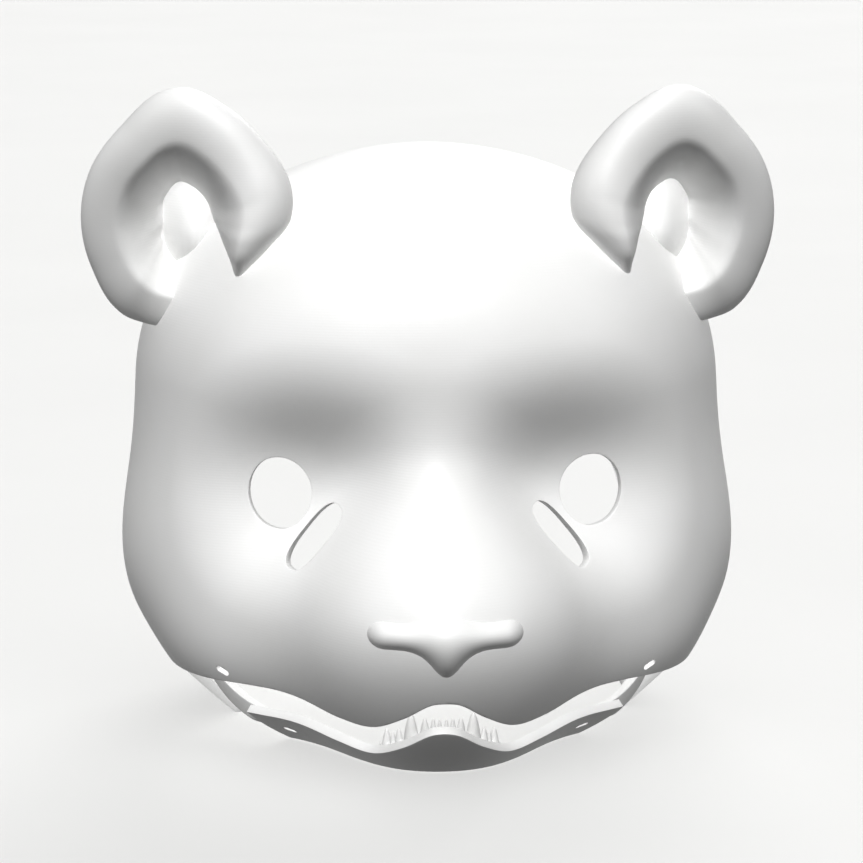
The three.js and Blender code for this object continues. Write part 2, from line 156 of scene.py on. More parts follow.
def add_noise(tree: bpy.types.NodeTree, place: bpy.types.NodeSocket, size_mm: float,
              detail: float) -> bpy.types.NodeSocket:
    """Adds noise with patches of a given size.

    Args:
        tree: Node tree of the material.
        place: Source of the coordinates.
        size_mm: Size of the patches.
        detail: Finer steps within them.

    Returns:
        The noise's value.
    """
    noise = add_node(tree, "ShaderNodeTexNoise", inputs={
        "Vector": place, "Scale": 1 / (size_mm * METRE), "Detail": detail})
    return noise.outputs["Fac"]


def add_tint(tree: bpy.types.NodeTree, share: bpy.types.NodeSocket, pale: str,
             dull: str) -> bpy.types.NodeSocket:
    """Adds a mix of two colours.

    Args:
        tree: Node tree of the material.
        share: Source of the dull colour's share.
        pale: First colour, in hex.
        dull: Second colour, in hex.

    Returns:
        The mixed colour.
    """
    mix = add_node(tree, "ShaderNodeMix", {"data_type": "RGBA"}, {
        "Factor": share, MIX_FIRST: linear_colour(pale), MIX_SECOND: linear_colour(dull)})
    return mix.outputs[MIX_RESULT]


def turn(axis: str, degrees: float) -> np.ndarray:
    """Rotation matrix about an axis, for column points."""
    return np.array(Matrix.Rotation(math.radians(degrees), 3, axis))


def coordinates(bm: bmesh.types.BMesh) -> Points:
    """Places of a bmesh's vertices as rows, with the vertices numbered to match."""
    bm.verts.index_update()
    return np.array([vert.co for vert in bm.verts], dtype=float)


def place_vertices(bm: bmesh.types.BMesh, points: Points) -> None:
    """Moves a bmesh's vertices to the given rows."""
    for vert, point in zip(bm.verts, points):
        vert.co = point


def halve(is_low: Callable[[Values], np.ndarray], low: Values, high: Values) -> Values:
    """Finds where a test turns from true to false, for many rays at once.

    Args:
        is_low: Test that is true below the wanted values.
        low: Values where the test is true.
        high: Values where the test is false.

    Returns:
        The values at the change.
    """
    for _ in range(HALVINGS):
        middle = (low + high) / 2
        below = is_low(middle)
        low = np.where(below, middle, low)
        high = np.where(below, high, middle)
    return (low + high) / 2


def smooth_step(values: Values) -> Values:
    """Eases values between nought and one."""
    share = np.clip(values, 0, 1)
    return share * share * (3 - 2 * share)


# The head's form


def blend_fields(first: Values, second: Values, width: float) -> Values:
    """Smooth minimum of two fields with a fillet of the given width."""
    share = np.clip(0.5 + 0.5 * (second - first) / width, 0, 1)
    return second + (first - second) * share - width * share * (1 - share)


def ellipsoid_field(points: Points, radii: Place) -> Values:
    """Signed distance, nearly, to an ellipsoid about the origin.

    Args:
        points: Places as rows.
        radii: Half lengths along the axes.

    Returns:
        One distance for each place, negative inside.
    """
    size = np.array(radii)
    scaled = np.linalg.norm(points / size, axis=-1)
    slope = np.linalg.norm(points / size ** 2, axis=-1)
    return scaled * (scaled - 1) / np.maximum(slope, TINY)


@dataclass(frozen=True)
class Form:
    """One ellipsoid of the head: lean turns it about X, pair makes it on both sides."""

    centre: Place
    radii: Place
    blend: float
    lean: float = 0.0
    pair: float = 0.0
    dent: bool = False

    def field(self, points: Points) -> Values:
        """Signed distance, nearly, to this form alone.

        Args:
            points: Places as rows, in the head's own frame.

        Returns:
            One distance for each place, negative inside.
        """
        side = np.hypot(points[:, 0], self.pair) if self.pair else points[:, 0]
        offset = np.stack([side, points[:, 1], points[:, 2]], axis=-1) - np.array(self.centre)
        return ellipsoid_field(offset @ turn("X", self.lean), self.radii)


@dataclass(frozen=True)
class HeadForm:
    """Outer form of the whole head, blended from ellipsoids in this order."""

    core: Place = (0.0, -5.0, 100.0)
    wall: float = 4.0
    gradient_step: float = 0.05
    inward_span: float = 4.0
    forms: tuple[Form, ...] = (
        Form((0, 24, 143), (132, 114, 126), blend=1),
        Form((51, 22, 163), (84, 94, 82), blend=30, pair=24),
        Form((65, 10, 79), (82, 88, 74), blend=34, pair=14),
        Form((0, 30, 20), (105, 90, 60), blend=20),
        Form((0, -36, 46), (116, 66, 57), blend=30),
        Form((0, -87, 30), (34, 33, 32), blend=44),
        Form((70, -112, 128), (52, 44, 32), blend=40, pair=12, dent=True),
        Form((0, -72, 91), (24, 34, 64), blend=34, lean=-32),
        Form((0, -96, 62), (56, 54, 38), blend=48, lean=-14),
    )

    def field(self, points: Points) -> Values:
        """Signed distance, nearly, to the outer form.

        Args:
            points: Places as rows.

        Returns:
            One distance for each place, negative inside.
        """
        total = self.forms[0].field(points)
        for form in self.forms[1:]:
            own = form.field(points)
            if form.dent:
                total = -blend_fields(-total, own, form.blend)
            else:
                total = blend_fields(total, own, form.blend)
        return total

    def normals(self, points: Points) -> Points:
        """Outward directions of the form.

        Args:
            points: Places on the form or near it.

        Returns:
            One unit direction for each place.
        """
        columns = []
        for axis in range(3):
            step = np.zeros(3)
            step[axis] = self.gradient_step
            columns.append(self.field(points + step) - self.field(points - step))
        slope = np.stack(columns, axis=-1)
        return slope / np.linalg.norm(slope, axis=-1, keepdims=True)

    def reach(self, starts: Points, ways: Points, level: float) -> Values:
        """Distances from places inside the form to where the field has a level.

        Args:
            starts: Places as rows, or one place for all ways.
            ways: Unit directions as rows.
            level: Value of the field at the ends.

        Returns:
            One distance for each way.
        """
        low = np.zeros(len(ways))
        return halve(lambda r: self.field(starts + ways * r[:, None]) < level, low, low + FAR)

    def from_core(self, points: Points, level: float) -> Points:
        """Moves points along their rays from the core to where the field has a level.

        Args:
            points: Places as rows.
            level: Value of the field at the new places.

        Returns:
            The new places.
        """
        core = np.array(self.core)
        rays = points - core
        rays = rays / np.linalg.norm(rays, axis=-1, keepdims=True)
        return core + rays * self.reach(core, rays, level)[:, None]

    def inward(self, points: Points, ways: Points, depth: float) -> Points:
        """Points below the form, reached from points on it along the given ways into it.

        Args:
            points: Places on the form.
            ways: Unit directions that lead into the form.
            depth: Depth of the wanted points under the form.

        Returns:
            One place for each start.
        """
        start = np.zeros(len(points))
        end = start + self.inward_span * depth
        reach = halve(lambda s: self.field(points + ways * s[:, None]) > -depth, start, end)
        return points + ways * reach[:, None]

    def forward(self, points: Points, level: float) -> Points:
        """Moves points straight towards the face to where the field has a level."""
        ways = np.tile((0.0, -1.0, 0.0), (len(points), 1))
        return points + ways * self.reach(points, ways, level)[:, None]


# Sheets that follow the head and are cut along lines


def head_sheet(head: HeadForm, subdivisions: int) -> bmesh.types.BMesh:
    """Closed sheet on the head's outer form.

    Args:
        head: The form that the sheet follows.
        subdivisions: Fineness of the icosphere that it starts from.

    Returns:
        The new bmesh.
    """
    bm = bmesh.new()
    bmesh.ops.create_icosphere(bm, subdivisions=subdivisions, radius=1.0)
    place_vertices(bm, head.from_core(coordinates(bm) + np.array(head.core), 0.0))
    return bm


def refine(bm: bmesh.types.BMesh, head: HeadForm, rule: Rule, reach: float) -> None:
    """Halves the edges of a head sheet along the line where a rule is nought.

    Args:
        bm: Sheet to refine.
        head: The form that the sheet follows.
        rule: Signed distance from the line.
        reach: Distance on both sides of the line that is refined.
    """
    near = np.abs(rule(coordinates(bm))) < reach
    edges = [edge for edge in bm.edges if near[edge.verts[0].index] and near[edge.verts[1].index]]
    if not edges:
        return
    split = bmesh.ops.subdivide_edges(bm, edges=edges, cuts=1, use_grid_fill=True)
    bmesh.ops.triangulate(bm, faces=[face for face in bm.faces if len(face.verts) > 3])
    added = [item for item in split["geom_inner"] if isinstance(item, bmesh.types.BMVert)]
    for vert, place in zip(added, head.from_core(np.array([vert.co for vert in added]), 0.0)):
        vert.co = place


def carve(bm: bmesh.types.BMesh, keep: Rule) -> None:
    """Cuts a sheet along the line where a rule is nought and deletes the side where it is negative.

    Args:
        bm: Sheet to cut.
        keep: Rule that is positive on what stays.
    """
    points = coordinates(bm)
    values = keep(points)
    crossing = [edge for edge in bm.edges
                if (values[edge.verts[0].index] < 0) != (values[edge.verts[1].index] < 0)]
    tails = points[[edge.verts[0].index for edge in crossing]]
    heads = points[[edge.verts[1].index for edge in crossing]]
    tail_out = keep(tails) < 0
    ways = heads - tails
    start = np.zeros(len(crossing))
    shares = halve(lambda s: (keep(tails + ways * s[:, None]) < 0) == tail_out, start, start + 1)
    on_line = set()
    for edge, share, tail, way in zip(crossing, shares, tails, ways):
        near = edge.verts[0] if share < 0.5 else edge.verts[1]
        if min(share, 1 - share) < SNAP_SHARE and near not in on_line:
            near.co = tail + way * share
            on_line.add(near)
    for edge, share, tail, way in zip(crossing, shares, tails, ways):
        if edge.verts[0] in on_line or edge.verts[1] in on_line:
            continue
        _, cut = bmesh.utils.edge_split(edge, edge.verts[0], share)
        cut.co = tail + way * share
        on_line.add(cut)
    bmesh.ops.connect_verts(bm, verts=list(on_line))
    faces = list(bm.faces)
    outside = keep(np.array([face.calc_center_median() for face in faces])) < 0
    bmesh.ops.delete(bm, geom=[face for face, out in zip(faces, outside) if out], context="FACES")


def thicken(bm: bmesh.types.BMesh, inner: Callable[[Points], Points]) -> None:
    """Gives an open sheet its thickness, with a copy of it as the inner wall.

    Args:
        bm: Open sheet whose faces point outwards.
        inner: Gives the inner wall's place for each place on the sheet.
    """
    sheet = list(bm.faces) + list(bm.edges) + list(bm.verts)
    grown = bmesh.ops.extrude_face_region(bm, geom=sheet, use_keep_orig=True)
    copies = [item for item in grown["geom"] if isinstance(item, bmesh.types.BMVert)]
    for vert, place in zip(copies, inner(np.array([vert.co for vert in copies]))):
        vert.co = place
    bmesh.ops.recalc_face_normals(bm, faces=list(bm.faces))


def soften_edges(bm: bmesh.types.BMesh, radius: float, segments: int = 2) -> None:
    """Rounds the sharp edges of a bmesh.

    Args:
        bm: Mesh to round.
        radius: Width of the rounding.
        segments: Steps in the rounding.
    """
    sharp = [edge for edge in bm.edges if edge.is_manifold and edge.calc_face_angle() > SHARP_ANGLE]
    bmesh.ops.bevel(bm, geom=sharp, offset=radius, offset_type="OFFSET", segments=segments, profile=0.5,
                    affect="EDGES", clamp_overlap=True, material=-1)


def edges_along(bm: bmesh.types.BMesh, axis: int) -> list[bmesh.types.BMEdge]:
    """Edges of a unit block that run the whole way along an axis, counted from X."""
    return [edge for edge in bm.edges if abs(edge.verts[0].co[axis] - edge.verts[1].co[axis]) > 0.5]


def add_block(bm: bmesh.types.BMesh, axis: int, rounding: float, segments: int, cuts: int) -> None:
    """Adds a unit cube with its edges along an axis rounded and cut into short steps.

    Args:
        bm: Empty mesh that the block is added to.
        axis: Axis, counted from X.
        rounding: Width of the rounding as a share of the cube.
        segments: Steps in the rounding.
        cuts: Cuts along the axis.
    """
    bmesh.ops.create_cube(bm, size=1.0)
    bmesh.ops.bevel(bm, geom=edges_along(bm, axis), offset=rounding, offset_type="OFFSET",
                    segments=segments, profile=0.5, affect="EDGES", material=-1)
    bmesh.ops.subdivide_edges(bm, edges=edges_along(bm, axis), cuts=cuts, use_grid_fill=True)


def join_part(bm: bmesh.types.BMesh, part: bmesh.types.BMesh) -> None:
    """Adds the mesh of a part to a piece.

    Args:
        bm: Mesh of the piece.
        part: Mesh of the part, freed here.
    """
    mesh = bpy.data.meshes.new("part")
    part.to_mesh(mesh)
    part.free()
    bm.from_mesh(mesh)
    bpy.data.meshes.remove(mesh)


def finish_piece(bm: bmesh.types.BMesh, name: str, material: bpy.types.Material, body: Body,
                 shift: float, node: str) -> None:
    """Makes a bmesh in millimetres a piece of the scene that stands for a CAD node.

    Args:
        bm: Mesh of the piece, freed here.
        name: Name of the piece.
        material: Finish of the piece.
        body: Body that it moves with.
        shift: Distance in metres along Y from the head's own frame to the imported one.
        node: CAD node that it stands for.
    """
    to_metres = Matrix.Translation((0, shift, 0)) @ Matrix.Scale(METRE, 4)
    bmesh.ops.transform(bm, matrix=to_metres, verts=bm.verts)
    for face in bm.faces:
        face.smooth = True
    for edge in bm.edges:
        edge.smooth = not edge.is_manifold or edge.calc_face_angle() < SHARP_ANGLE
    mesh = bpy.data.meshes.new(name)
    bm.to_mesh(mesh)
    bm.free()
    mesh.materials.append(material)
    piece = bpy.data.objects.new(name, mesh)
    bpy.context.scene.collection.objects.link(piece)
    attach(piece, body.value)
    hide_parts(node)
    log.info("%s: %d faces", name, len(mesh.polygons))


# Openings in the face, each on both sides


@dataclass(frozen=True)
class Drill:
    """A straight drill through the wall, along Y in its own frame: a blunt oval or a round-ended slot."""

    centre: Place
    half_width: float
    half_length: float
    turns: tuple[tuple[str, float], ...]
    reach: float
    oval: bool = True
    blunt: float = 2.0

    def axes(self) -> np.ndarray:
        """Works out how the drill is turned.

        Returns:
            Matrix from the drill's own frame to the head's.
        """
        total = np.eye(3)
        for axis, degrees in self.turns:
            total = turn(axis, degrees) @ total
        return total

    def rule(self, points: Points) -> Values:
        """Signed distance, nearly, from the drill's side, on both sides of the head.

        Args:
            points: Places as rows.

        Returns:
            One distance for each place, negative inside.
        """
        right = points.copy()
        right[:, 0] = np.abs(right[:, 0])
        local = (right - np.array(self.centre)) @ self.axes()
        if self.oval:
            across = np.abs(local[:, 0] / self.half_width) ** self.blunt
            along = np.abs(local[:, 2] / self.half_length) ** self.blunt
            distance = ((across + along) ** (1 / self.blunt) - 1) * self.half_width
        else:
            past = np.maximum(np.abs(local[:, 2]) - self.half_length + self.half_width, 0)
            distance = np.hypot(local[:, 0], past) - self.half_width
        return np.where(np.abs(local[:, 1]) < self.reach, distance, self.reach)

    def way_in(self, points: Points) -> Points:
        """Directions along the drill into the head.

        Args:
            points: Places on either side of the head.

        Returns:
            One unit direction for each place.
        """
        along = self.axes() @ np.array([0.0, 1.0, 0.0])
        ways = np.tile(along, (len(points), 1))
        ways[:, 0] *= np.sign(points[:, 0])
        return ways


EYE = Drill((71.2, -62, 119.3), 14.5, 16.4, (("Y", 16), ("X", -6), ("Z", 12)), reach=32)
TEAR_SLIT = Drill((55.9, -78, 102), 7.3, 17.2, (("Y", -31), ("X", -12), ("Z", 20)), reach=32, blunt=2.6)
FRONT_BAND_SLOT = Drill((97, -71, 39), 1.5, 3.5, (("Y", 65), ("X", 20), ("Z", 37)), reach=9, oval=False)
SIDE_BAND_SLOT = Drill((116, -3, 29), 1.5, 3.5, (("Y", 10), ("X", 30), ("Z", 85)), reach=9, oval=False)
JAW_BAND_SLOT = Drill((68, -70, 8), 1.5, 3.5, (("Y", 75), ("X", 45), ("Z", 40)), reach=9, oval=False)


@dataclass(frozen=True)
class MouthLine:
    """Heights of the lip and of the jaw's rim over the floor, by distance from the centre plane."""

    sides: tuple[float, ...] = (0, 5, 18, 31, 46, 63, 86, 107, 170)
    lips: tuple[float, ...] = (41.8, 41.4, 33.5, 26.8, 27.7, 32.2, 33, 32, 31)
    rims: tuple[float, ...] = (25.3, 24.6, 16.4, 9.7, 11.5, 15.2, 15.4, 15, 14)
    back: float = -12.0

    def read(self, heights: tuple[float, ...], x: Values) -> Values:
        """Smooth reading of one of the lines.

        Args:
            heights: The line's heights at the known distances.
            x: Distances from the centre plane, on either side.

        Returns:
            One height for each distance.
        """
        side = np.clip(np.abs(x), 0, self.sides[-1] - TINY)
        knots = np.array(self.sides)
        values = np.array(heights)
        slopes = np.gradient(values, knots)
        slopes[0] = 0
        i = np.searchsorted(knots, side, side="right") - 1
        span = knots[i + 1] - knots[i]
        t = (side - knots[i]) / span
        start = (1 + 2 * t) * (1 - t) ** 2 * values[i] + t * (1 - t) ** 2 * span * slopes[i]
        end = t * t * (3 - 2 * t) * values[i + 1] - t * t * (1 - t) * span * slopes[i + 1]
        return start + end

    def lip(self, x: Values) -> Values:
        """Height of the shell's lip."""
        return self.read(self.lips, x)

    def rim(self, x: Values) -> Values:
        """Height of the jaw's rim."""
        return self.read(self.rims, x)


# Finishes


@dataclass(frozen=True)
class PrintedPlastic:
    """White PLA, fused from filament and sanded: an even satin white with faint level layer lines.

    The layers are 0.3 mm on such a print, too fine for the render, so they are drawn 1.2 mm apart.
    """

    name: str = "PLA_fused_and_sanded_white"
    pale: str = "#E3E3E3"
    dull: str = "#DDDDDC"
    roughness: float = 0.5
    roughness_spread: float = 0.08
    layer_mm: float = 1.2
    layer_depth_mm: float = 0.03
    layer_share: float = 0.5
    relief_strength: float = 0.5
    cloud_mm: float = 40.0
    cloud_detail: float = 3.0
    grain_mm: float = 1.5
    grain_detail: float = 2.0
    ior: float = 1.46

    def make(self) -> bpy.types.Material:
        """Builds the material.

        Returns:
            The new material.
        """
        material, tree = new_material(self.name)
        place = add_node(tree, "ShaderNodeTexCoord").outputs["Object"]
        clouds = add_noise(tree, place, self.cloud_mm, self.cloud_detail)
        grain = add_noise(tree, place, self.grain_mm, self.grain_detail)
        layers = add_node(tree, "ShaderNodeTexWave", {"wave_type": "BANDS", "bands_direction": "Z"}, {
            "Vector": place, "Scale": math.tau / (WAVE_RATE * self.layer_mm * METRE), "Distortion": 0.0})
        gloss = add_node(tree, "ShaderNodeMapRange", inputs={
            "Value": grain,
            "To Min": self.roughness - self.roughness_spread,
            "To Max": self.roughness + self.roughness_spread})
        relief = add_node(tree, "ShaderNodeMath", {"operation": "MULTIPLY_ADD"}, {
            0: layers.outputs["Fac"], 1: self.layer_share, 2: grain})
        bump = add_node(tree, "ShaderNodeBump", inputs={
            "Height": relief.outputs["Value"], "Distance": self.layer_depth_mm * METRE,
            "Strength": self.relief_strength})
        shader = add_node(tree, "ShaderNodeBsdfPrincipled", inputs={
            "Base Color": add_tint(tree, clouds, self.pale, self.dull),
            "Roughness": gloss.outputs["Result"], "Normal": bump.outputs["Normal"], "IOR": self.ior})
        add_node(tree, "ShaderNodeOutputMaterial", inputs={"Surface": shader.outputs["BSDF"]})
        return material


@dataclass(frozen=True)
class StudioBoard:
    """Matt acrylic of a light table, lit from below: an even pale grey with weak shadows."""

    name: str = "acrylic_matt_light_table"
    pale: str = "#B2B2B1"
    dull: str = "#ADADAC"
    glow: str = "#FFFFFF"
    glow_strength: float = 0.32
    mottle_mm: float = 300.0
    mottle_detail: float = 3.0
    roughness: float = 0.9

    def make(self) -> bpy.types.Material:
        """Builds the material.

        Returns:
            The new material.
        """
        material, tree = new_material(self.name)
        place = add_node(tree, "ShaderNodeTexCoord").outputs["Object"]
        mottle = add_noise(tree, place, self.mottle_mm, self.mottle_detail)
        shader = add_node(tree, "ShaderNodeBsdfPrincipled", inputs={
            "Base Color": add_tint(tree, mottle, self.pale, self.dull), "Roughness": self.roughness,
            "Emission Color": linear_colour(self.glow), "Emission Strength": self.glow_strength})
        add_node(tree, "ShaderNodeOutputMaterial", inputs={"Surface": shader.outputs["BSDF"]})
        return material


# Sub-assemblies


@dataclass(frozen=True)
class HeadShell:
    """Hollow shell with eye holes, tear slits, band slots, mouth, rear window and open base."""

    head: HeadForm
    mouth: MouthLine
    drills: tuple[Drill, ...] = (EYE, TEAR_SLIT, FRONT_BAND_SLOT, SIDE_BAND_SLOT)
    window: Place = (104.0, 62.0, 80.0)
    window_from: float = 30.0
    subdivisions: int = 7
    line_reach: float = 4.0
    drill_fade: float = 14.0
    edge_radius: float = 0.5

    def mouth_rule(self, points: Points) -> Values:
        """Positive above the lip and behind the mouth's back plane."""
        return np.maximum(points[:, 2] - self.mouth.lip(points[:, 0]), points[:, 1] - self.mouth.back)

    def window_rule(self, points: Points) -> Values:
        """Rule of the oval rear window.

        Args:
            points: Places as rows.

        Returns:
            Distances, nearly, from the window's edge, positive outside it.
        """
        half_width, half_height, level = self.window
        way = np.hypot(points[:, 0] / half_width, (points[:, 2] - level) / half_height)
        return np.maximum((way - 1) * half_height, self.window_from - points[:, 1])

    @staticmethod
    def base_rule(points: Points) -> Values:
        """Positive above the floor."""
        return points[:, 2]

    def inner(self, points: Points) -> Points:
        """Inner wall's places: square to the form, but along the drill at an oval opening.

        Args:
            points: Places on the outer form.

        Returns:
            One place for each of them.
        """
        ways = -self.head.normals(points)
        for drill in self.drills:
            if drill.oval:
                share = 1 - smooth_step(drill.rule(points) / self.drill_fade)
                ways = ways + share[:, None] * (drill.way_in(points) - ways)
        ways = ways / np.linalg.norm(ways, axis=-1, keepdims=True)
        places = self.head.inward(points, ways, self.head.wall)
        on_floor = points[:, 2] < MERGE_DISTANCE
        places[:, 2] = np.where(on_floor, points[:, 2], np.maximum(places[:, 2], 0))
        return places

    def build(self, material: bpy.types.Material, shift: float) -> None:
        """Models and dresses the shell.

        Args:
            material: Finish of the shell.
            shift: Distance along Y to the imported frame, in metres.
        """
        bm = head_sheet(self.head, self.subdivisions)
        rules: list[Rule] = [drill.rule for drill in self.drills]
        rules += [self.mouth_rule, self.window_rule, self.base_rule]
        for rule in rules:
            refine(bm, self.head, rule, self.line_reach)
        for drill in self.drills:
            if not drill.oval:
                refine(bm, self.head, drill.rule, self.line_reach / 2)
        for rule in rules:
            carve(bm, rule)
        thicken(bm, self.inner)
        soften_edges(bm, self.edge_radius)
        finish_piece(bm, "printed_head_shell", material, Body.HEAD, shift, "head_shell")


@dataclass(frozen=True)
class RingRow:
    """Ear's ring at one angle: outline radius, shares of it at bowl wall and crest, and rim height."""

    angle: float
    radius: float
    bowl: float
    crest: float
    height: float


@dataclass(frozen=True)
class Ear:
    """Thick round cup on the crown, whose inner end folds forward over the dome."""

    head: HeadForm
    side: Side
    centre: Place = (117.0, -18.0, 238.0)
    outward_slope: float = 0.25
    upward_slope: float = -0.1
    floor_depth: float = 34.0
    back_depth: float = 50.0
    floor_part: float = 0.28
    wall_power: float = 1.0
    fold_power: float = 0.5
    fold_angle: float = 178.0
    fold_spread: float = 60.0
    crest_part: float = 0.65
    mound_centre: tuple[float, float] = (-6.0, -13.0)
    mound_radii: tuple[float, float] = (19.0, 31.0)
    mound_height: float = 18.0
    segments: int = 128
    rings: int = 96
    seat_depth: float = 1.5
    rows: tuple[RingRow, ...] = (
        RingRow(0, 45.5, 0.18, 0.66, 9),
        RingRow(30, 47, 0.2, 0.66, 10),
        RingRow(60, 51.5, 0.22, 0.66, 12),
        RingRow(90, 63, 0.24, 0.64, 13),
        RingRow(115, 59, 0.25, 0.62, 15),
        RingRow(135, 56, 0.26, 0.61, 18),
        RingRow(160, 55.5, 0.27, 0.6, 23),
        RingRow(177, 52, 0.3, 0.6, 27),
        RingRow(190, 45, 0.38, 0.66, 29),
        RingRow(206, 40, 0.53, 0.76, 28),
        RingRow(219, 39, 0.72, 0.88, 20),
        RingRow(235, 40, 0.8, 0.92, 2),
        RingRow(252, 45, 0.62, 0.82, -4),
        RingRow(275, 50, 0.46, 0.73, 3),
        RingRow(290, 51.5, 0.36, 0.7, 6),
        RingRow(303, 52, 0.28, 0.66, 9),
        RingRow(330, 47, 0.2, 0.66, 9),
    )

    def read(self, column: str, degrees: Values) -> Values:
        """Smooth reading of one column of the ring.

        Args:
            column: Name of the column.
            degrees: Angles round the ear.

        Returns:
            One value for each angle.
        """
        angles = np.array([row.angle for row in self.rows])
        values = np.array([getattr(row, column) for row in self.rows])
        count = len(self.rows)
        way = np.mod(degrees, 360)
        i = np.searchsorted(angles, way, side="right") - 1
        after = np.where(i + 1 < count, angles[(i + 1) % count], angles[0] + 360)
        t = (way - angles[i]) / (after - angles[i])
        a, b, c, d = (values[(i + k) % count] for k in (-1, 0, 1, 2))
        return b + 0.5 * t * (c - a + t * (2 * a - 5 * b + 4 * c - d + t * (3 * (b - c) + d - a)))

    def front(self, way: Values, degrees: Values) -> tuple[Values, Values, Values]:
        """Front of the ear, from the bowl's centre over the crest to the outline.

        Args:
            way: Shares of the way from the centre to the outline.
            degrees: Angles round the ear.

        Returns:
            Shares of the outline's radius, heights, and hollowness from nought to one.
        """
        bowl = self.read("bowl", degrees)
        crest = self.read("crest", degrees)
        height = self.read("height", degrees)
        fall = np.clip((1 - way) / (1 - self.crest_part), 0, 1) * math.pi / 2
        climb = np.clip((way - self.floor_part) / (self.crest_part - self.floor_part), 0, 1)
        wall_share = bowl * np.clip(way / self.floor_part, 0, 1) + (crest - bowl) * climb
        fold = np.exp(-((np.mod(degrees, 360) - self.fold_angle) / self.fold_spread) ** 2)
        power = self.wall_power + (self.fold_power - self.wall_power) * fold
        rise = np.sin(climb * math.pi / 2) ** power
        wall_height = -self.floor_depth + (height + self.floor_depth) * rise
        edge_share = crest + (1 - crest) * np.cos(fall)
        edge_height = height * np.sin(fall)
        in_cup = way < self.crest_part
        share = np.where(in_cup, wall_share, edge_share)
        return share, np.where(in_cup, wall_height, edge_height), np.where(in_cup, 1 - rise, 0)

    def build(self, material: bpy.types.Material, shift: float) -> None:
        """Models and dresses the ear.

        Args:
            material: Finish of the ear.
            shift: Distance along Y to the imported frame, in metres.
        """
        bm = bmesh.new()
        bmesh.ops.create_uvsphere(bm, u_segments=self.segments, v_segments=self.rings, radius=1.0)
        ball = coordinates(bm)
        angle = np.arctan2(ball[:, 1], ball[:, 0])
        degrees = np.degrees(angle)
        way = np.arccos(np.clip(np.abs(ball[:, 2]), 0, 1)) / (math.pi / 2)
        is_front = ball[:, 2] >= 0
        share, height, hollow = self.front(way, degrees)
        share = np.where(is_front, share, np.sin(way * math.pi / 2))
        height = np.where(is_front, height, -self.back_depth * np.cos(way * math.pi / 2))
        radius = share * self.read("radius", degrees)
        x = np.cos(angle) * radius
        z = np.sin(angle) * radius
        mound_x, mound_z = self.mound_centre
        away = np.hypot((x - mound_x) / self.mound_radii[0], (z - mound_z) / self.mound_radii[1])
        mound = self.mound_height * np.clip(1 - away * away, 0, 1) ** 2
        height = height + np.where(is_front, hollow * mound, 0)
        y = self.outward_slope * x + self.upward_slope * z - height
        points = np.stack([x, y, z], axis=-1) + np.array(self.centre)
        seats = self.head.from_core(points, -self.seat_depth)
        sunk = self.head.field(points) < -self.seat_depth
        points = np.where(sunk[:, None], seats, points)
        points[:, 0] *= self.side.value
        place_vertices(bm, points)
        bmesh.ops.recalc_face_normals(bm, faces=list(bm.faces))
        node = f"ear_{self.side.name.lower()}"
        finish_piece(bm, f"printed_{node}", material, Body.HEAD, shift, node)


@dataclass(frozen=True)
class NosePad:
    """Nose pad: a round-ended bar over a drop, bent back round the muzzle and sunk into it."""

    head: HeadForm
    centre: Place = (0.0, -144.0, 71.0)
    bend: float = 0.0075
    blend: float = 16.0
    bar_half_length: float = 27.0
    bar_centre: Place = (0.0, -147.0, 72.8)
    bar_radii: Place = (8.0, 9.5, 6.5)
    drop_centre: Place = (0.0, -148.0, 65.5)
    drop_radii: Place = (5.5, 8.0, 10.5)
    subdivisions: int = 6
    seat_depth: float = 1.0

    def field(self, points: Points) -> Values:
        """Signed distance, nearly, to the nose pad.

        Args:
            points: Places as rows.

        Returns:
            One distance for each place, negative inside.
        """
        bent = points - np.array([0.0, 1.0, 0.0]) * (self.bend * points[:, :1] ** 2)
        bar = bent - np.array(self.bar_centre)
        bar[:, 0] = np.maximum(np.abs(points[:, 0]) - self.bar_half_length, 0)
        bar_field = ellipsoid_field(bar, self.bar_radii)
        drop_field = ellipsoid_field(bent - np.array(self.drop_centre), self.drop_radii)
        return blend_fields(bar_field, drop_field, self.blend)

    def build(self, material: bpy.types.Material, shift: float) -> None:
        """Models and dresses the nose.

        Args:
            material: Finish of the nose.
            shift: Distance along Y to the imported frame, in metres.
        """
        bm = bmesh.new()
        bmesh.ops.create_icosphere(bm, subdivisions=self.subdivisions, radius=1.0)
        rays = coordinates(bm)
        centre = np.array(self.centre)
        start = np.zeros(len(rays))
        reach = halve(lambda r: self.field(centre + rays * r[:, None]) < 0, start, start + FAR)
        points = centre + rays * reach[:, None]
        sunk = self.head.field(points) < -self.seat_depth
        seats = self.head.forward(points, -self.seat_depth)
        place_vertices(bm, np.where(sunk[:, None], seats, points))
        finish_piece(bm, "printed_nose_pad", material, Body.HEAD, shift, "nose")


